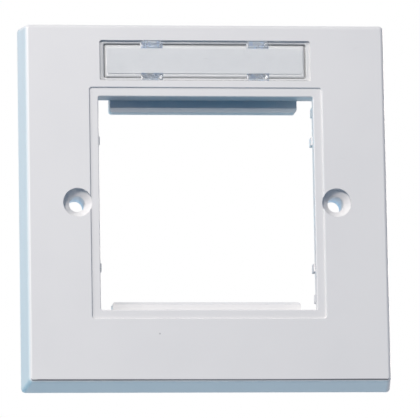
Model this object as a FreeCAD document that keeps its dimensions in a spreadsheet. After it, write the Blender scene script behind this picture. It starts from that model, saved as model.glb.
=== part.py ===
import FreeCAD, Part
import math
import os

import Sketcher

# Single-gang module faceplate: a white moulding, a clear label cover and a paper card.
# The plate hangs on a wall in the XZ plane. Y = 0 is the wall, -Y is the front, +Z is up,
# and the origin is midway between the two fixing holes.

SIZES = {
    # outer moulding
    "plate_size": 86.0,  # square outline at the wall
    "plate_depth": 10.0,  # wall to front face
    "side_inset": 1.15,  # how far each side leans in on its way to the front
    "corner_round": 1.0,  # the four leaning corners
    "edge_round": 0.8,  # front edge
    "skin": 2.2,  # front wall
    "rim": 2.0,  # side wall
    # aperture for two 25 x 50 mm modules
    "aperture_width": 50.1,
    "aperture_height": 50.1,
    "aperture_corner": 0.4,
    "aperture_break": 0.25,  # rounding where the aperture meets the step
    "step_border": 2.05,  # width of the shallow step round the aperture
    "step_depth": 0.4,
    "step_break": 0.2,  # rounding of the step's outer edge
    "frame_wall": 1.6,  # wall behind the aperture's edge
    "seat_depth": 5.5,  # front face to the module seat
    "side_lip": 0.8,  # low lip behind the aperture's left and right edges
    "corner_relief": 2.1,  # gap between a lip and the walls above and below
    "post_height": 2.0,  # post at each end of a lip
    # rails that the modules clip behind
    "rail_length": 43.8,
    "rail_reach": 2.65,  # how far a rail stands into the aperture
    "rail_setback": 0.4,  # wall plane to the back of a rail
    "rail_lead": 0.7,  # slope on the front free edge
    "rail_tail": 0.3,  # slope on the rear free edge
    "rail_end_round": 0.7,
    # nibs that centre the modules sideways
    "nib_spacing": 29.8,
    "nib_height": 1.9,
    "nib_reach": 0.35,
    # fixing holes
    "fixing_centres": 60.3,
    "screw_bore": 3.7,
    "head_bore": 6.7,
    "head_depth": 1.1,
    "countersink_angle": 90.0,
    "boss_diameter": 6.8,
    # ribs behind the skin
    "rib": 1.2,
    "rib_offset": 15.0,
    # label pocket
    "label_length": 49.2,
    "label_height": 9.5,
    "label_drop": 0.975,  # middle of the band above the step, down to the pocket's centre
    "label_corner": 0.5,
    "cover_recess": 0.8,  # front face to the ledge that carries the cover
    "ledge_end": 0.95,  # ledge at the two short sides, with its slope
    "ledge_side": 0.65,  # ledge at the two long sides, with its slope
    "ledge_slope": 0.15,  # slope from the ledge into the groove
    "card_recess": 0.3,  # ledge to the pad that carries the card
    "groove_floor": 0.25,  # width of the groove's floor, round the pad
    "groove_depth": 0.7,  # pad to the groove's floor
    "pad_slope": 0.35,  # slope from the groove up to the pad
    "label_floor": 1.15,  # wall behind the groove
    "label_margin": 1.6,  # thickened skin beyond the pocket's ends
    "slot_spacing": 24.8,
    "slot_length": 5.1,
    "slot_height": 1.65,
    # clear cover
    "cover_clearance": 0.12,
    "cover_sink": 0.1,  # front face to the cover's face
    "cover_thickness": 0.7,
    "cover_break": 0.2,
    "lug_tip": 1.0,  # how far the lugs stand out behind the floor
    "lug_flat": 0.12,  # flat left at the end of a tip
    "gate_diameter": 1.2,
    "gate_depth": 0.1,
    # paper card
    "card_clearance": 0.15,
    "card_thickness": 0.25,
}

doc = FreeCAD.newDocument("module_faceplate")
dims = doc.addObject("Spreadsheet::Sheet", "dims")
for row, (alias, size) in enumerate(SIZES.items(), start=1):
    dims.set(f"A{row}", alias)
    dims.set(f"B{row}", str(size))
    dims.setAlias(f"B{row}", alias)
doc.recompute()


def number(expression):
    """The present value of an expression on the sheet's cells."""
    return float(dims.evalExpression(expression))


def new_body(label):
    body = doc.addObject("PartDesign::Body", label)
    body.Label = label
    return body


def origin_plane(body, role):
    return next(x for x in body.Origin.OriginFeatures if x.Role == role)


def new_sketch(body, name, role, forward="0"):
    """A sketch on one of the body's own planes, moved along that plane's normal.

    On XZ_Plane the sketch's axes are X and Z, and its normal points to the front.
    """
    sketch = body.newObject("Sketcher::SketchObject", name)
    sketch.AttachmentSupport = [(origin_plane(body, role), "")]
    sketch.MapMode = "FlatFace"
    sketch.setExpression("AttachmentOffset.Base.z", forward)
    return sketch


def locate(sketch, kind, geometry, point, name, expression):
    """Holds one end of a line at a signed distance from the sketch's origin."""
    size = number(expression)
    at = sketch.addConstraint(Sketcher.Constraint(kind, -1, 1, geometry, point, size))
    sketch.renameConstraint(at, name)
    sketch.setExpression(f"Constraints.{name}", expression)


def polygon(sketch, tag, corners):
    """A closed outline through corners, each a pair of expressions."""
    points = [FreeCAD.Vector(number(u), number(v), 0) for u, v in corners]
    first = sketch.GeometryCount
    count = len(points)
    for i, start in enumerate(points):
        sketch.addGeometry(Part.LineSegment(start, points[(i + 1) % count]))
    for i, (u, v) in enumerate(corners):
        follows = first + (i + 1) % count
        sketch.addConstraint(Sketcher.Constraint("Coincident", first + i, 2, follows, 1))
        locate(sketch, "DistanceX", first + i, 1, f"{tag}_u{i}", u)
        locate(sketch, "DistanceY", first + i, 1, f"{tag}_v{i}", v)


def rectangle(sketch, tag, left, right, low, high):
    polygon(sketch, tag, [(left, low), (right, low), (right, high), (left, high)])


def rounded_rectangle(sketch, tag, width, height, radius, rise="0"):
    """A rectangle with round corners, centred on the sketch's vertical axis."""
    half_w = number(width) / 2
    half_h = number(height) / 2
    r = number(radius)
    z = number(rise)
    first = sketch.GeometryCount
    for quarter in range(4):
        turn = math.radians(90 * quarter)
        along = half_w if quarter % 2 == 0 else half_h
        out = half_h if quarter % 2 == 0 else half_w
        spot = FreeCAD.Rotation(FreeCAD.Vector(0, 0, 1), 90 * quarter)
        shift = FreeCAD.Vector(0, z, 0)
        start = spot.multVec(FreeCAD.Vector(r - along, -out, 0)) + shift
        end = spot.multVec(FreeCAD.Vector(along - r, -out, 0)) + shift
        centre = spot.multVec(FreeCAD.Vector(along - r, r - out, 0)) + shift
        bend = Part.Circle(centre, FreeCAD.Vector(0, 0, 1), r)
        sketch.addGeometry(Part.LineSegment(start, end))
        sketch.addGeometry(Part.ArcOfCircle(bend, turn - math.pi / 2, turn))
    bottom, right, top, left = (first + 2 * i for i in range(4))
    for i in range(4):
        line = first + 2 * i
        arc = line + 1
        follows = first + (2 * i + 2) % 8
        level = "Horizontal" if i % 2 == 0 else "Vertical"
        sketch.addConstraint(Sketcher.Constraint("Tangent", line, 2, arc, 1))
        sketch.addConstraint(Sketcher.Constraint("Tangent", arc, 2, follows, 1))
        sketch.addConstraint(Sketcher.Constraint(level, line))
        if i:
            sketch.addConstraint(Sketcher.Constraint("Equal", first + 1, arc))
    corner = sketch.addConstraint(Sketcher.Constraint("Radius", first + 1, r))
    sketch.renameConstraint(corner, f"{tag}_corner")
    sketch.setExpression(f"Constraints.{tag}_corner", radius)
    locate(sketch, "DistanceX", left, 1, f"{tag}_left", f"-({width}) / 2")
    locate(sketch, "DistanceX", right, 1, f"{tag}_right", f"({width}) / 2")
    locate(sketch, "DistanceY", bottom, 1, f"{tag}_low", f"{rise} - ({height}) / 2")
    locate(sketch, "DistanceY", top, 1, f"{tag}_high", f"{rise} + ({height}) / 2")


def circle(sketch, tag, diameter, x="0"):
    """A circle on the sketch's horizontal axis."""
    centre = FreeCAD.Vector(number(x), 0, 0)
    normal = FreeCAD.Vector(0, 0, 1)
    ring = sketch.addGeometry(Part.Circle(centre, normal, number(diameter) / 2))
    across = sketch.addConstraint(Sketcher.Constraint("Diameter", ring, number(diameter)))
    sketch.renameConstraint(across, f"{tag}_diameter")
    sketch.setExpression(f"Constraints.{tag}_diameter", diameter)
    if x == "0":
        sketch.addConstraint(Sketcher.Constraint("Coincident", ring, 3, -1, 1))
        return
    sketch.addConstraint(Sketcher.Constraint("PointOnObject", ring, 3, -1))
    locate(sketch, "DistanceX", ring, 3, f"{tag}_x", x)


def extrude(body, kind, name, sketch, length, backward=False, taper=None):
    """A Pad or Pocket of a sketch. Backward is away from the sketch's normal."""
    feature = body.newObject(f"PartDesign::{kind}", name)
    feature.Profile = sketch
    feature.setExpression("Length", length)
    feature.Reversed = backward if kind == "Pad" else not backward
    if taper:
        feature.setExpression("TaperAngle", taper)
    doc.recompute()
    return feature


def dress(body, kind, name, size, expression, chosen):
    """A Fillet or Chamfer on the edges of the body's last feature that chosen accepts."""
    base = body.Tip
    names = [f"Edge{i}" for i, edge in enumerate(base.Shape.Edges, start=1) if chosen(edge)]
    feature = body.newObject(f"PartDesign::{kind}", name)
    feature.Base = (base, names)
    feature.setExpression(size, expression)
    doc.recompute()
    return feature


def on_plane(y):
    """Accepts an edge that lies wholly at one distance from the wall."""
    return lambda edge: all(abs(v.Y - y) < 1e-4 for v in edge.Vertexes)


def reach_x(edge):
    return max(abs(edge.BoundBox.XMin), abs(edge.BoundBox.XMax))


def loop_on_plane(y, width):
    """Accepts an edge at one distance from the wall, on an outline of this width or inside it."""
    level = on_plane(y)
    return lambda edge: level(edge) and reach_x(edge) < width / 2 + 1e-4


FRONT = "dims.plate_depth"
SKIN_BACK = "dims.plate_depth - dims.skin"
SEAT = "dims.plate_depth - dims.seat_depth"
LEAN = "atan(dims.side_inset / dims.plate_depth)"
LUG_LEAD = "(dims.slot_height / 2 - dims.cover_clearance - dims.lug_flat / 2)"
TIP_LEAN = f"-atan({LUG_LEAD} / dims.lug_tip)"
UNDER_LEDGE = "(dims.card_recess + dims.groove_depth + dims.label_floor)"
LABEL_STACK = f"(dims.cover_recess + {UNDER_LEDGE})"
PAD_LENGTH = "(dims.label_length - 2 * (dims.ledge_end + dims.groove_floor))"
PAD_HEIGHT = "(dims.label_height - 2 * (dims.ledge_side + dims.groove_floor))"
STEP_TOP = "(dims.aperture_height / 2 + dims.step_border)"
FRONT_TOP = "(dims.plate_size / 2 - dims.side_inset)"
LABEL_RISE = f"(({STEP_TOP} + {FRONT_TOP}) / 2 - dims.label_drop)"
SIDES = ((-1, "left"), (1, "right"))
ENDS = ((-1, "low"), (1, "high"))


def slot_places():
    """Tag and edges of each lug slot, measured from the label pocket's centre."""
    for side, side_name in SIDES:
        middle = f"{side} * dims.slot_spacing / 2"
        left = f"{middle} - dims.slot_length / 2"
        right = f"{middle} + dims.slot_length / 2"
        for end, end_name in ENDS:
            outer = f"{end} * dims.label_height / 2"
            inner = f"{end} * (dims.label_height / 2 - dims.slot_height)"
            low, high = (outer, inner) if end < 0 else (inner, outer)
            yield f"{side_name}_{end_name}", left, right, low, high


def shell(body):
    """The outer block with leaning sides, rounded, then hollowed from the wall side."""
    outline = new_sketch(body, "outline", "XZ_Plane")
    half = "dims.plate_size / 2"
    rectangle(outline, "plate", f"-{half}", half, f"-{half}", half)
    extrude(body, "Pad", "block", outline, FRONT, taper=f"-{LEAN}")
    wall, front = on_plane(0), on_plane(-number(FRONT))
    dress(body, "Fillet", "corners", "Radius", "dims.corner_round", lambda e: not (wall(e) or front(e)))
    dress(body, "Fillet", "front_edge", "Radius", "dims.edge_round", front)
    inside = new_sketch(body, "inside", "XZ_Plane")
    half = "(dims.plate_size / 2 - dims.rim)"
    rectangle(inside, "hollow", f"-{half}", half, f"-{half}", half)
    extrude(body, "Pocket", "hollow", inside, SKIN_BACK, taper=f"-{LEAN}")


def back_frame(body):
    """Walls above and below the aperture, low lips with posts beside it, and the bracing ribs."""
    height = "dims.seat_depth - dims.skin"
    inner_x = "dims.aperture_width / 2"
    outer_x = "(dims.aperture_width / 2 + dims.frame_wall)"
    inner_z = "dims.aperture_height / 2"
    outer_z = "(dims.aperture_height / 2 + dims.frame_wall)"
    walls = new_sketch(body, "aperture_walls", "XZ_Plane", SKIN_BACK)
    rectangle(walls, "above", f"-{outer_x}", outer_x, inner_z, outer_z)
    rectangle(walls, "below", f"-{outer_x}", outer_x, f"-{outer_z}", f"-{inner_z}")
    extrude(body, "Pad", "frame", walls, height, backward=True)

    lips = new_sketch(body, "lip_outlines", "XZ_Plane", SKIN_BACK)
    lip_end = "(dims.aperture_height / 2 - dims.corner_relief)"
    rectangle(lips, "left", f"-{outer_x}", f"-{inner_x}", f"-{lip_end}", lip_end)
    rectangle(lips, "right", inner_x, outer_x, f"-{lip_end}", lip_end)
    extrude(body, "Pad", "lips", lips, "dims.side_lip", backward=True)

    posts = new_sketch(body, "post_outlines", "XZ_Plane", SKIN_BACK)
    nib_tip = "(dims.aperture_width / 2 - dims.nib_reach)"
    for end, end_name in ENDS:
        post_middle = f"{end} * ({lip_end} - dims.post_height / 2)"
        nib_middle = f"{end} * dims.nib_spacing / 2"
        for name, middle, tall, near in (
            ("post", post_middle, "dims.post_height", inner_x),
            ("nib", nib_middle, "dims.nib_height", nib_tip),
        ):
            low, high = f"{middle} - {tall} / 2", f"{middle} + {tall} / 2"
            rectangle(posts, f"{name}_left_{end_name}", f"-{outer_x}", f"-{near}", low, high)
            rectangle(posts, f"{name}_right_{end_name}", near, outer_x, low, high)
    extrude(body, "Pad", "posts", posts, height, backward=True)

    ribs = new_sketch(body, "rib_outlines", "XZ_Plane", SKIN_BACK)
    into_rim = "(dims.plate_size / 2 - dims.rim / 2 - dims.side_inset / 2)"
    into_wall = "(dims.aperture_height / 2 + dims.frame_wall / 2)"
    rectangle(ribs, "left", f"-{into_rim}", "-dims.fixing_centres / 2", "-dims.rib / 2", "dims.rib / 2")
    rectangle(ribs, "right", "dims.fixing_centres / 2", into_rim, "-dims.rib / 2", "dims.rib / 2")
    for side, side_name in SIDES:
        left = f"{side} * dims.rib_offset - dims.rib / 2"
        right = f"{side} * dims.rib_offset + dims.rib / 2"
        rectangle(ribs, f"{side_name}_low", left, right, f"-{into_rim}", f"-{into_wall}")
    extrude(body, "Pad", "ribs", ribs, height, backward=True)


def rails(body):
    """The two bars that a module clips behind, sloped where it slides in."""
    profiles = new_sketch(body, "rail_profiles", "YZ_Plane")
    front = f"-({SEAT})"
    back = "(-dims.rail_setback)"
    for end, end_name in ENDS:
        root = f"{end} * (dims.aperture_height / 2 + dims.frame_wall)"
        free = "(dims.aperture_height / 2 - dims.rail_reach)"
        corners = [
            (front, root),
            (front, f"{end} * ({free} + dims.rail_lead)"),
            (f"{front} + dims.rail_lead", f"{end} * {free}"),
            (f"{back} - dims.rail_tail", f"{end} * {free}"),
            (back, f"{end} * ({free} + dims.rail_tail)"),
            (back, root),
        ]
        polygon(profiles, end_name, corners)
    bars = extrude(body, "Pad", "rails", profiles, "dims.rail_length")
    bars.Midplane = True
    doc.recompute()
    free = number("dims.aperture_height / 2 - dims.rail_reach")
    end_x = number("dims.rail_length / 2")

    def end_of_free_edge(edge):
        box = edge.BoundBox
        at_end = box.XLength < 1e-4 and abs(reach_x(edge) - end_x) < 1e-4
        return at_end and box.ZLength < 1e-4 and abs(abs(box.ZMin) - free) < 1e-4

    dress(body, "Fillet", "rail_ends", "Radius", "dims.rail_end_round", end_of_free_edge)


def bosses(body):
    """A tube behind each fixing hole, as deep as the rim."""
    rings = new_sketch(body, "boss_outlines", "XZ_Plane", SKIN_BACK)
    for side, side_name in SIDES:
        circle(rings, side_name, "dims.boss_diameter", f"{side} * dims.fixing_centres / 2")
    extrude(body, "Pad", "bosses", rings, SKIN_BACK, backward=True)


def label_backing(body):
    """Thicker skin behind the label pocket, from the aperture's wall to the rim."""
    outline = new_sketch(body, "label_backing_outline", "XZ_Plane", SKIN_BACK)
    half = "(dims.label_length / 2 + dims.label_margin)"
    low = "dims.aperture_height / 2 + dims.frame_wall / 2"
    high = "dims.plate_size / 2 - dims.side_inset - dims.rim / 2"
    rectangle(outline, "backing", f"-{half}", half, low, high)
    extrude(body, "Pad", "label_backing", outline, f"{LABEL_STACK} - dims.skin", backward=True)


def aperture(body):
    """The square hole and the shallow step round it, with softened edges."""
    step = new_sketch(body, "step_outline", "XZ_Plane", FRONT)
    step_width = "dims.aperture_width + 2 * dims.step_border"
    step_height = "dims.aperture_height + 2 * dims.step_border"
    step_corner = "dims.aperture_corner + dims.step_break"
    rounded_rectangle(step, "step", step_width, step_height, step_corner)
    extrude(body, "Pocket", "step", step, "dims.step_depth", backward=True)
    rim_of_step = loop_on_plane(-number(FRONT), number(step_width))
    dress(body, "Fillet", "step_edge", "Radius", "dims.step_break", rim_of_step)

    hole = new_sketch(body, "aperture_outline", "XZ_Plane", FRONT)
    rounded_rectangle(
        hole, "aperture", "dims.aperture_width", "dims.aperture_height", "dims.aperture_corner"
    )
    extrude(body, "Pocket", "aperture", hole, "dims.skin", backward=True)
    rim_of_hole = loop_on_plane(number(f"dims.step_depth - {FRONT}"), number("dims.aperture_width"))
    dress(body, "Fillet", "aperture_edge", "Radius", "dims.aperture_break", rim_of_hole)


def fixing_holes(body):
    """Two screw holes: a straight bore for the head, a cone, then the clearance bore."""
    centres = new_sketch(body, "fixing_centres", "XZ_Plane", FRONT)
    for side, side_name in SIDES:
        circle(centres, side_name, "dims.screw_bore", f"{side} * dims.fixing_centres / 2")
    doc.recompute()
    holes = body.newObject("PartDesign::Hole", "fixing_holes")
    holes.Profile = centres
    doc.recompute()
    holes.ThreadType = "None"
    holes.DepthType = "ThroughAll"
    holes.HoleCutType = "Counterdrill"
    holes.HoleCutCustomValues = True
    holes.setExpression("Diameter", "dims.screw_bore")
    holes.setExpression("HoleCutDiameter", "dims.head_bore")
    holes.setExpression("HoleCutDepth", "dims.head_depth")
    holes.setExpression("HoleCutCountersinkAngle", "dims.countersink_angle")
    doc.recompute()


def label_pocket(body):
    """A recess for the cover, a sloped groove round the card's pad, and the four lug slots."""
    outer = new_sketch(body, "cover_outline", "XZ_Plane", FRONT)
    rounded_rectangle(
        outer, "cover", "dims.label_length", "dims.label_height", "dims.label_corner", LABEL_RISE
    )
    extrude(body, "Pocket", "cover_recess", outer, "dims.cover_recess", backward=True)
    inner = new_sketch(body, "card_outline", "XZ_Plane", f"{FRONT} - dims.cover_recess")
    card_length = "dims.label_length - 2 * dims.ledge_end"
    card_height = "dims.label_height - 2 * dims.ledge_side"
    rounded_rectangle(inner, "card", card_length, card_height, "dims.label_corner", LABEL_RISE)
    extrude(body, "Pocket", "card_recess", inner, "dims.card_recess", backward=True)

    ring = new_sketch(body, "groove_outline", "XZ_Plane", f"{FRONT} - dims.cover_recess - dims.card_recess")
    rounded_rectangle(ring, "wall", card_length, card_height, "dims.label_corner", LABEL_RISE)
    rounded_rectangle(ring, "pad", PAD_LENGTH, PAD_HEIGHT, "dims.label_corner", LABEL_RISE)
    extrude(body, "Pocket", "card_groove", ring, "dims.groove_depth", backward=True)
    rim_of_pad = on_plane(number(f"dims.cover_recess + dims.card_recess - {FRONT}"))
    dress(body, "Chamfer", "pad_edge", "Size", "dims.pad_slope", rim_of_pad)
    rim_of_ledge = loop_on_plane(number(f"dims.cover_recess - {FRONT}"), number(card_length))
    dress(body, "Chamfer", "ledge_edge", "Size", "dims.ledge_slope", rim_of_ledge)

    slots = new_sketch(body, "slot_outlines", "XZ_Plane", f"{FRONT} - dims.cover_recess")
    for tag, left, right, low, high in slot_places():
        rectangle(slots, tag, left, right, f"{LABEL_RISE} + {low}", f"{LABEL_RISE} + {high}")
    extrude(body, "Pocket", "lug_slots", slots, UNDER_LEDGE, backward=True)


def make_faceplate():
    body = new_body("faceplate")
    shell(body)
    back_frame(body)
    rails(body)
    bosses(body)
    label_backing(body)
    aperture(body)
    label_pocket(body)
    fixing_holes(body)
    return body


def add_lugs(body, name, behind, length, taper=None):
    """Four bars, one in each slot, from behind the cover's face backward."""
    sketch = new_sketch(body, f"{name}_outlines", "XZ_Plane", f"-({behind})")
    gap = "dims.cover_clearance"
    for tag, left, right, low, high in slot_places():
        rectangle(sketch, tag, f"{left} + {gap}", f"{right} - {gap}", f"{low} + {gap}", f"{high} - {gap}")
    extrude(body, "Pad", f"{name}s", sketch, length, backward=True, taper=taper)


def make_label_cover():
    """A clear strip on the pocket's ledge. Its own origin is the middle of its face."""
    body = new_body("label_cover")
    body.setExpression("Placement.Base.y", f"dims.cover_sink - {FRONT}")
    body.setExpression("Placement.Base.z", LABEL_RISE)
    face = new_sketch(body, "face_outline", "XZ_Plane")
    length = "dims.label_length - 2 * dims.cover_clearance"
    height = "dims.label_height - 2 * dims.cover_clearance"
    rounded_rectangle(face, "face", length, height, "dims.label_corner")
    extrude(body, "Pad", "strip", face, "dims.cover_thickness", backward=True)
    dress(body, "Fillet", "face_edge", "Radius", "dims.cover_break", on_plane(0))

    lug = f"dims.cover_recess - dims.cover_sink - dims.cover_thickness + {UNDER_LEDGE}"
    add_lugs(body, "lug", "dims.cover_thickness", lug)
    add_lugs(body, "lug_tip", f"dims.cover_thickness + {lug}", "dims.lug_tip", TIP_LEAN)

    gate = new_sketch(body, "gate_outline", "XZ_Plane")
    circle(gate, "gate", "dims.gate_diameter")
    extrude(body, "Pocket", "gate_mark", gate, "dims.gate_depth", backward=True)
    return body


def make_label_card():
    """The paper strip on the pad, between the upper and lower lugs."""
    body = new_body("label_card")
    body.setExpression("Placement.Base.y", f"dims.cover_recess + dims.card_recess - {FRONT}")
    body.setExpression("Placement.Base.z", LABEL_RISE)
    sheet = new_sketch(body, "sheet_outline", "XZ_Plane")
    length = f"{PAD_LENGTH} - 2 * (dims.pad_slope + dims.card_clearance)"
    height = "dims.label_height - 2 * (dims.slot_height + dims.card_clearance)"
    rounded_rectangle(sheet, "sheet", length, height, "dims.label_corner")
    extrude(body, "Pad", "paper", sheet, "dims.card_thickness")
    return body


def check_body(body):
    """Stops on a failed feature, a bad shape, or a feature that changes nothing."""
    cuts = ("PartDesign::Pocket", "PartDesign::Hole")
    for feature in body.Group:
        if {"Invalid", "Error"} & set(feature.State):
            raise RuntimeError(f"{body.Label}: {feature.Name} failed, {feature.getStatusString()}")
        base = getattr(feature, "BaseFeature", None)
        if base is None:
            continue
        gain = feature.Shape.Volume - base.Shape.Volume
        if feature.TypeId == "PartDesign::Pad" and gain <= 0 or feature.TypeId in cuts and gain >= 0:
            raise RuntimeError(f"{body.Label}: {feature.Name} changes the volume by {gain:.3f}")
    shape = body.Shape
    if shape.isNull() or not shape.isValid() or len(shape.Solids) != 1:
        raise RuntimeError(f"{body.Label} is not one valid solid")


bodies = [make_faceplate(), make_label_cover(), make_label_card()]
doc.recompute()
for item in bodies:
    check_body(item)
os.makedirs("parts", exist_ok=True)
for item in bodies:
    item.Shape.exportStep(f"parts/{item.Label}.step")
    box = item.Shape.optimalBoundingBox()
    print(f"{item.Label}: {box.XLength:.2f} x {box.YLength:.2f} x {box.ZLength:.2f} mm, "
          f"{item.Shape.Volume / 1000:.3f} cm3")
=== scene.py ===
import math

import bpy
from mathutils import Matrix, Vector


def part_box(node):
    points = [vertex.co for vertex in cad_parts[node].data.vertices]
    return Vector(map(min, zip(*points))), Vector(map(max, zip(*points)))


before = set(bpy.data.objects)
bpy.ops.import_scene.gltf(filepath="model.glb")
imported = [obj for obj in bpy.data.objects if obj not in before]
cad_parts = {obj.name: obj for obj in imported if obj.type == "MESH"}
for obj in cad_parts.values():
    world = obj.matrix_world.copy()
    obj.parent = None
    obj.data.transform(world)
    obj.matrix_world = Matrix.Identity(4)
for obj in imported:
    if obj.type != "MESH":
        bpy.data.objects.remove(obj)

mm = 0.001
scene = bpy.context.scene
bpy.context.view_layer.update()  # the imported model's box, before anything is dressed
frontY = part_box("faceplate")[0].y  # the front face of the plate
coverLow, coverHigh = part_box("label_cover")
coverMiddle = (coverLow.z + coverHigh.z) / 2


class Wire:  # one socket of a node tree, so that shader maths reads as Python
    def __init__(self, tree, socket=None):
        self.tree, self.socket = tree, socket

    def node(self, kind, settings=None, inputs=None, out=0):
        made = self.tree.nodes.new(kind)
        for key, value in (settings or {}).items():
            setattr(made, key, value)
        for key, value in (inputs or {}).items():
            if isinstance(value, Wire):
                self.tree.links.new(value.socket, made.inputs[key])
            else:
                made.inputs[key].default_value = value
        return Wire(self.tree, made.outputs[out])

    def other(self, out):  # another output of the same node
        return Wire(self.tree, self.socket.node.outputs[out])

    def into(self, target, key):
        self.tree.links.new(self.socket, target.inputs[key])

    def maths(self, operation, first, second=0.0):
        pair = (first, second)
        if any(isinstance(v, Wire) and v.socket.type == "VECTOR" for v in pair):
            pair = [v if isinstance(v, (Wire, tuple)) else (v, v, v) for v in pair]
            return self.node("ShaderNodeVectorMath", {"operation": operation}, dict(enumerate(pair)))
        return self.node("ShaderNodeMath", {"operation": operation}, dict(enumerate(pair)))

    def __add__(self, other):
        return self.maths("ADD", self, other)

    def __radd__(self, other):
        return self.maths("ADD", other, self)

    def __sub__(self, other):
        return self.maths("SUBTRACT", self, other)

    def __rsub__(self, other):
        return self.maths("SUBTRACT", other, self)

    def __mul__(self, other):
        return self.maths("MULTIPLY", self, other)

    def __rmul__(self, other):
        return self.maths("MULTIPLY", other, self)

    def __abs__(self):
        return self.maths("ABSOLUTE", self)

    def least(self, other):
        return self.maths("MINIMUM", self, other)

    def most(self, other):
        return self.maths("MAXIMUM", self, other)

    def root(self):
        return self.maths("SQRT", self)

    def ramp(self, low, high):  # 0 up to low, 1 from high, smooth between; low may be the larger
        eased = self.node(
            "ShaderNodeMapRange",
            {"interpolation_type": "SMOOTHSTEP"},
            {"Value": self, "From Min": min(low, high), "From Max": max(low, high)},
        )
        return 1 - eased if low > high else eased

    def between(self, rising, falling):  # 1 in a band, with its two soft sides
        return self.ramp(*rising) * self.ramp(*falling)

    def tint(self, plain, full):  # this value mixes two colours
        return self.node("ShaderNodeMix", {"data_type": "RGBA"}, {0: self, 6: plain, 7: full}, 2)

    def noise(self, size, detail=2.0, roughness=0.5):  # self is a place; size is that of a feature
        inputs = {"Vector": self, "Scale": 1 / size, "Detail": detail, "Roughness": roughness}
        return self.node("ShaderNodeTexNoise", {}, inputs)

    def parts(self):
        split = self.node("ShaderNodeSeparateXYZ", {}, {0: self})
        return split, split.other(1), split.other(2)

    def bumped(self, height, strength, normal=None):  # self is 0 to 1, height is in metres
        inputs = {"Height": self, "Distance": height, "Strength": strength}
        if normal:
            inputs["Normal"] = normal
        return self.node("ShaderNodeBump", {}, inputs)


def reach(across, up):  # distance from a point, out of two offsets
    return (across * across + up * up).root()


def mostOf(masks):
    joined = masks[0]
    for mask in masks[1:]:
        joined = joined.most(mask)
    return joined


def newMaterial(name):
    material = bpy.data.materials.new(name)
    material.use_nodes = True
    tree = material.node_tree
    place = Wire(tree).node("ShaderNodeTexCoord", out="Object")
    return material, tree.nodes["Principled BSDF"], place


def dress(node, material):
    node.data.materials.clear()
    node.data.materials.append(material)


noiseMiddle = 0.5  # what a noise averages
whiteSet = {  # a noise is the size of a feature, detail, roughness; a span is where a mask goes from 0 to 1
    "colour": (0.800, 0.800, 0.802, 1),
    "cloud": (0.782, 0.783, 0.788, 1),  # the faint greyer clouds of the resin
    "cloudNoise": (22 * mm, 3.0, 0.55),
    "cloudSpan": (0.35, 0.7),
    "frontFacing": (-0.75, -0.95),  # the normal's y
    "backFacing": (0.6, 0.9),
    "gloss": 0.30,  # roughness of the polished front
    "satin": 0.50,  # roughness of the sides, bores and back
    "driftNoise": (9 * mm, 5.0, 0.6),
    "glossDrift": 0.07,
    "ior": 1.52,
    "peelNoise": (0.8 * mm, 2.0, 0.5),
    "peelHeight": 0.006 * mm,
    "peelStrength": 0.5,
    "edgeRadius": 0.16 * mm,
    "edgeSamples": 6,
    "speckAt": (-11.6 * mm, -30.7 * mm),
    "speckSpan": (0.26 * mm, 0.091 * mm),
    "speckColour": (0.42, 0.42, 0.43, 1),
    "speckShare": 0.85,
    "scuffs": (  # across, up, half length, half width, turn in degrees
        (31.7 * mm, 10.5 * mm, 1.1 * mm, 0.20 * mm, 4),
        (33.2 * mm, 9.9 * mm, 0.9 * mm, 0.16 * mm, -3),
        (35.4 * mm, 36.6 * mm, 1.3 * mm, 0.22 * mm, 22),
    ),
    "scuffCore": (0.3, 0.2),  # share of a scuff's length and width that is full
    "scuffColour": (0.70, 0.70, 0.71, 1),
    "scuffShare": 0.35,
    "scuffRough": 0.15,
    "frayNoise": (0.35 * mm, 4.0, 0.7),
    "fraySpan": (0.35, 0.65),
    "paintedShade": (0.11, 0.115, 0.13, 1),  # painted shade: darkens the label's groove and a thin line along the lower front edge
    "grooveShadeShare": 0.48,
    "grooveIn": (0.83 * mm, 0.53 * mm),  # from the cover's ends and long sides to the groove
    "grooveWide": ((-0.05 * mm, 0.03 * mm), (0.42 * mm, 0.252 * mm)),
    "grooveDepth": ((0.9025 * mm, 0.9975 * mm), (2.1 * mm, 1.9 * mm)),  # behind the front face
    "edgeShadeShare": 0.95,
    "edgeDepth": ((0.01 * mm, 0.03 * mm), (0.168 * mm, 0.112 * mm)),
    "edgeRise": (-40.9 * mm, -41.1 * mm),  # only the lower front edge lies below this
    "edgeReach": (41.6 * mm, 41.0 * mm),
    "pins": ((33.4 * mm, 12.5 * mm), (33.4 * mm, 33.4 * mm)),  # ejector pins, mirrored both ways
    "pinSpan": (1.696 * mm, 1.6 * mm),
    "pinDepth": 0.08 * mm,
    "pinStrength": 0.9,
}


def scuffMask(x, z, p):
    scuffs = []
    for acrossAt, upAt, halfLength, halfWidth, turn in p["scuffs"]:
        c, s = math.cos(math.radians(turn)), math.sin(math.radians(turn))
        across, up = x - acrossAt, z - upAt
        along, aside = abs(across * c + up * s), abs(up * c - across * s)
        coreLength, coreWidth = halfLength * p["scuffCore"][0], halfWidth * p["scuffCore"][1]
        scuffs.append(along.ramp(halfLength, coreLength) * aside.ramp(halfWidth, coreWidth))
    return mostOf(scuffs)


# painted shade: a dark line in the label's groove and one along the lower front edge
def paintedShadeMask(x, y, z, p):
    depth = y - frontY
    inEnds = coverHigh.x - p["grooveIn"][0] - abs(x)
    inSides = (coverHigh.z - coverLow.z) / 2 - p["grooveIn"][1] - abs(z - coverMiddle)
    groove = inEnds.least(inSides).between(*p["grooveWide"]) * depth.between(*p["grooveDepth"])
    edge = depth.between(*p["edgeDepth"]) * z.ramp(*p["edgeRise"]) * abs(x).ramp(*p["edgeReach"])
    return (groove * p["grooveShadeShare"]).most(edge * p["edgeShadeShare"])


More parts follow.
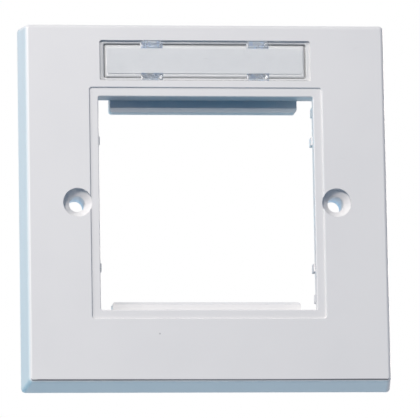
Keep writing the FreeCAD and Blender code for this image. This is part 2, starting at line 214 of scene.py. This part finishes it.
def whitePlastic(p):
    material, shader, place = newMaterial("white moulding")
    x, y, z = place.parts()
    facing = place.node("ShaderNodeNewGeometry", out="Normal").parts()[1]
    onFront, onBack = facing.ramp(*p["frontFacing"]), facing.ramp(*p["backFacing"])
    scuffed = scuffMask(x, z, p) * onFront * place.noise(*p["frayNoise"]).ramp(*p["fraySpan"])
    speck = reach(x - p["speckAt"][0], z - p["speckAt"][1]).ramp(*p["speckSpan"]) * onFront

    colour = place.noise(*p["cloudNoise"]).ramp(*p["cloudSpan"]).tint(p["colour"], p["cloud"])
    colour = (scuffed * p["scuffShare"]).tint(colour, p["scuffColour"])
    colour = (speck * p["speckShare"]).tint(colour, p["speckColour"])
    # painted shade darkens the label's groove and the lower front edge
    paintedShadeMask(x, y, z, p).tint(colour, p["paintedShade"]).into(shader, "Base Color")

    drift = place.noise(*p["driftNoise"]) - noiseMiddle
    gloss = p["gloss"] + drift * p["glossDrift"] + scuffed * p["scuffRough"]
    (gloss + (1 - onFront) * (p["satin"] - p["gloss"])).into(shader, "Roughness")

    pins = mostOf([reach(abs(x) - across, abs(z) - up).ramp(*p["pinSpan"]) for across, up in p["pins"]])
    rounded = place.node("ShaderNodeBevel", {"samples": p["edgeSamples"]}, {"Radius": p["edgeRadius"]})
    pressed = (1 - pins * onBack).bumped(p["pinDepth"], p["pinStrength"], rounded)
    peel = place.noise(*p["peelNoise"])
    peel.bumped(p["peelHeight"], p["peelStrength"], pressed).into(shader, "Normal")
    shader.inputs["IOR"].default_value = p["ior"]
    return material


clearSet = {
    "colour": (0.955, 0.975, 0.985, 1),
    "haze": (0.90, 0.925, 0.94, 1),
    "hazeNoise": (7 * mm, 5.0, 0.62),
    "hazeSpan": (0.45, 0.75),
    "hazeShare": 0.6,
    "gloss": 0.045,  # roughness where it is clear
    "hazed": 0.16,  # roughness where it is hazy
    "scratchStretch": (30.0, 1.0, 420.0),  # fine lines along the cover
    "scratchNoise": (1 / 9, 3.0, 0.5),
    "scratchSpan": (0.62, 0.72),
    "scratchRough": 0.05,
    "waveNoise": (3 * mm, 2.0, 0.5),
    "waveHeight": 0.01 * mm,
    "waveStrength": 0.4,
    "ior": 1.49,
    "lightThrough": (0.965, 0.965, 0.965, 1),
    "lug": (0.66, 0.70, 0.74, 1),  # painted blue-grey shade on the lugs
    "lugBlueShade": (0.48, 0.60, 0.80, 1),
    "lugNoise": (1.3 * mm, 3.0, 0.6),
    "lugSpan": (0.44, 0.6),
    "frosted": 0.27,  # roughness of the lugs
    "lugAt": 12.4 * mm,  # across, to the middle of a lug
    "lugHalf": (2.6775 * mm, 2.4225 * mm),
    "lugInside": (2.755 * mm, 3.045 * mm),  # from the cover's middle line to the lugs
}


def clearPlastic(p):
    material, shader, place = newMaterial("clear moulding")
    x, _, z = place.parts()
    haze = place.noise(*p["hazeNoise"]).ramp(*p["hazeSpan"]) * p["hazeShare"]
    scratches = (place * p["scratchStretch"]).noise(*p["scratchNoise"]).ramp(*p["scratchSpan"])
    atLug = abs(abs(x) - p["lugAt"]).ramp(*p["lugHalf"]) * abs(z - coverMiddle).ramp(*p["lugInside"])

    # painted shade: the lugs are tinted grey-blue
    lugShadeTint = place.noise(*p["lugNoise"]).ramp(*p["lugSpan"]).tint(p["lug"], p["lugBlueShade"])
    atLug.tint(haze.tint(p["colour"], p["haze"]), lugShadeTint).into(shader, "Base Color")
    rough = p["gloss"] + haze * (p["hazed"] - p["gloss"]) + scratches * p["scratchRough"]
    (rough + atLug * (p["frosted"] - p["gloss"])).into(shader, "Roughness")
    place.noise(*p["waveNoise"]).bumped(p["waveHeight"], p["waveStrength"]).into(shader, "Normal")
    shader.inputs["IOR"].default_value = p["ior"]
    shader.inputs["Transmission Weight"].default_value = 1.0

    path = place.node("ShaderNodeLightPath", out="Is Shadow Ray")
    passing = place.node("ShaderNodeBsdfTransparent", {}, {"Color": p["lightThrough"]})
    surface = Wire(place.tree, shader.outputs[0])
    for ray in (path, path.other("Is Diffuse Ray")):  # lamp light and its bounces pass straight through
        surface = place.node("ShaderNodeMixShader", {}, {0: ray, 1: surface, 2: passing})
    surface.into(place.tree.nodes["Material Output"], "Surface")
    return material


cardSet = {
    "colour": (0.80, 0.805, 0.81, 1),
    "fibre": (0.745, 0.75, 0.755, 1),
    "fibreStretch": (0.35, 1.0, 1.0),
    "fibreNoise": (0.45 * mm, 5.0, 0.7),
    "fibreSpan": (0.4, 0.75),
    "fibreShare": 0.5,
    "flockNoise": (4 * mm, 3.0, 0.5),  # the wider, cloudy unevenness of the sheet
    "flockSpan": (0.4, 0.7),
    "flockShare": 0.25,
    "rough": 0.88,
    "roughDrift": 0.12,
    "fibreHeight": 0.02 * mm,
    "fibreStrength": 0.6,
}


def paperCard(p):
    material, shader, place = newMaterial("blank card")
    fibres = (place * p["fibreStretch"]).noise(*p["fibreNoise"])
    flocks = place.noise(*p["flockNoise"])
    grey = fibres.ramp(*p["fibreSpan"]) * p["fibreShare"] + flocks.ramp(*p["flockSpan"]) * p["flockShare"]
    grey.tint(p["colour"], p["fibre"]).into(shader, "Base Color")
    (p["rough"] + (fibres - noiseMiddle) * p["roughDrift"]).into(shader, "Roughness")
    fibres.bumped(p["fibreHeight"], p["fibreStrength"]).into(shader, "Normal")
    return material


dress(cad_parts["faceplate"], whitePlastic(whiteSet))
dress(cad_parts["label_cover"], clearPlastic(clearSet))
dress(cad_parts["label_card"], paperCard(cardSet))
print("materials: white moulding, clear moulding, blank card")


lampSet = {  # turn is from the front to the right; level is what white shows facing the lamp
    "key": {
        "turn": -20, "rise": 21, "reach": 3.0, "size": 0.4,
        "level": 0.771, "colour": (1.0, 0.927, 0.861), "mirrored": True,
    },
    "sideFill": {
        "turn": -58, "rise": 32, "reach": 0.40, "size": 0.22,
        "level": 0.375, "colour": (1.0, 0.96, 0.947), "mirrored": True,
    },
    "leftBlue": {
        "turn": 262, "rise": -30, "reach": 0.8, "size": 0.4,
        "level": 0.24, "colour": (0.033, 0.717, 1.0), "mirrored": False,
    },
    "lowBlue": {
        "turn": 195, "rise": -20, "reach": 0.9, "size": 0.3,
        "level": 0.11, "colour": (0.2, 0.6, 1.0), "mirrored": False,
    },
    "under": {
        "turn": 180, "rise": -90, "reach": 0.85, "size": 0.12,
        "level": 0.187, "colour": (1.0, 0.973, 0.968), "mirrored": False,
    },
    "backKey": {
        "turn": 138, "rise": 13, "reach": 0.6, "size": 0.3,
        "level": 0.84, "colour": (1.0, 0.89, 0.79), "mirrored": True,
    },
}
boreSet = {  # a small lamp in the rear end of each fixing hole, for the blue that shows in them
    "across": 30.15 * mm,
    "depth": 0.3 * mm,  # in front of the wall plane
    "size": 3.0 * mm,
    "level": 1.25,  # brightness of the lamp's own disk
    "colour": (0.1, 0.55, 1.0),
    "mirrored": False,
}


def addLamp(name, spot, away, energy, p):
    light = bpy.data.lights.new(name, "AREA")
    light.shape, light.size = "DISK", p["size"]
    light.energy, light.color = energy, p["colour"]
    lamp = bpy.data.objects.new(name, light)
    lamp.location = spot
    lamp.rotation_mode = "QUATERNION"
    lamp.rotation_quaternion = away.to_track_quat("Z", "Y")
    lamp.visible_camera = False
    lamp.visible_glossy = p["mirrored"]
    lamp.visible_transmission = False  # light reaches the card by shadow rays alone
    scene.collection.objects.link(lamp)


def lightRoom():
    for name, p in lampSet.items():
        turn, rise = math.radians(p["turn"]), math.radians(p["rise"])
        flat = math.cos(rise)
        away = Vector((math.sin(turn) * flat, -math.cos(turn) * flat, math.sin(rise)))
        addLamp(name, away * p["reach"], away, p["level"] * math.pi ** 2 * p["reach"] ** 2, p)


def lightBores(p):
    energy = p["level"] * math.pi * math.pi * (p["size"] / 2) ** 2
    for name, side in (("boreLeft", -1), ("boreRight", 1)):
        spot = Vector((side * p["across"], -p["depth"], 0))
        addLamp(name, spot, Vector((0, 1, 0)), energy, p)


lightRoom()
lightBores(boreSet)
print("lamps:", ", ".join(lampSet), "and one in each bore")


roomSet = {
    "white": (1, 1, 1, 1),  # what the camera and reflections see behind the plate
    "dim": (0.0, 0.057, 0.137, 1),  # what lights the plate
    "floorDrop": 0.95,  # floor below the plate's centre
    "floorSize": 0.9,
    "floorFade": (0.15, 0.42),  # where the lit floor fades into white
    "floorColour": (0.52, 0.64, 0.74, 1),
    "floorShade": (0.5122, 0.6304, 0.7289, 1),
    "floorNoise": (0.05, 3.0),
    "floorRough": 0.8,
    "shadowShare": 0.45,  # how much of the lit floor shows near the plate
}


def seenWhite(start):  # 1 for rays that come straight from the camera, a reflection or the clear cover
    path = start.node("ShaderNodeLightPath", out="Is Camera Ray")
    seen = path.most(path.other("Is Glossy Ray")).most(path.other("Is Transmission Ray"))
    return seen * (1 - path.other("Diffuse Depth").least(1.0))


def buildRoom(p):
    world = bpy.data.worlds.new("studio")
    scene.world = world
    world.use_nodes = True
    tree = world.node_tree
    seenWhite(Wire(tree)).tint(p["dim"], p["white"]).into(tree.nodes["Background"], "Color")

    half = p["floorSize"] / 2
    mesh = bpy.data.meshes.new("floor")
    corners = [(-half, -half, 0), (half, -half, 0), (half, half, 0), (-half, half, 0)]
    mesh.from_pydata(corners, [], [(0, 1, 2, 3)])
    floor = bpy.data.objects.new("floor", mesh)
    floor.location.z = -p["floorDrop"]
    scene.collection.objects.link(floor)

    material, shader, place = newMaterial("pale floor")
    shader.inputs["Roughness"].default_value = p["floorRough"]
    place.noise(*p["floorNoise"]).tint(p["floorColour"], p["floorShade"]).into(shader, "Base Color")
    x, y, _ = place.parts()
    away = reach(x, y).ramp(*p["floorFade"])
    glow = place.node("ShaderNodeEmission", {}, {"Color": p["white"]})
    share = seenWhite(place) * (1 - p["shadowShare"] * (1 - away))
    lit = Wire(place.tree, shader.outputs[0])
    both = place.node("ShaderNodeMixShader", {}, {0: share, 1: lit, 2: glow})
    both.into(place.tree.nodes["Material Output"], "Surface")
    floor.data.materials.append(material)


buildRoom(roomSet)
print("room: white behind, floor", roomSet["floorDrop"], "m down")


cameraSet = {
    "yaw": 6.4,  # degrees round to the left
    "pitch": 10.0,  # degrees below
    "roll": -1.02,
    "distance": 1.2,
    "aim": (0.5 * mm, -1.55 * mm),  # on the front face, across and up
    "scale": 4.323,  # pixels of the image for a millimetre at the aim
    "imageWidth": 420,
    "sensor": 36,
    "clip": (0.05, 20),
}


def addCamera(p):
    yaw, pitch, roll = (math.radians(p[key]) for key in ("yaw", "pitch", "roll"))
    forward = Vector((math.sin(yaw) * math.cos(pitch), math.cos(yaw) * math.cos(pitch), math.sin(pitch)))
    right = Vector((math.cos(yaw), -math.sin(yaw), 0))
    up = right.cross(forward)
    c, s = math.cos(roll), math.sin(roll)
    right, up = right * c + up * s, up * c - right * s
    data = bpy.data.cameras.new("camera")
    data.sensor_width = p["sensor"]
    data.lens = p["scale"] * p["distance"] / mm / p["imageWidth"] * p["sensor"]
    data.clip_start, data.clip_end = p["clip"]
    camera = bpy.data.objects.new("camera", data)
    aim = Vector((p["aim"][0], frontY, p["aim"][1]))
    turned = Matrix((right, up, -forward)).transposed().to_4x4()
    camera.matrix_world = Matrix.Translation(aim - forward * p["distance"]) @ turned
    scene.collection.objects.link(camera)
    scene.camera = camera


addCamera(cameraSet)
scene.view_settings.view_transform = "Standard"
print("camera: lens", round(scene.camera.data.lens, 1), "mm")
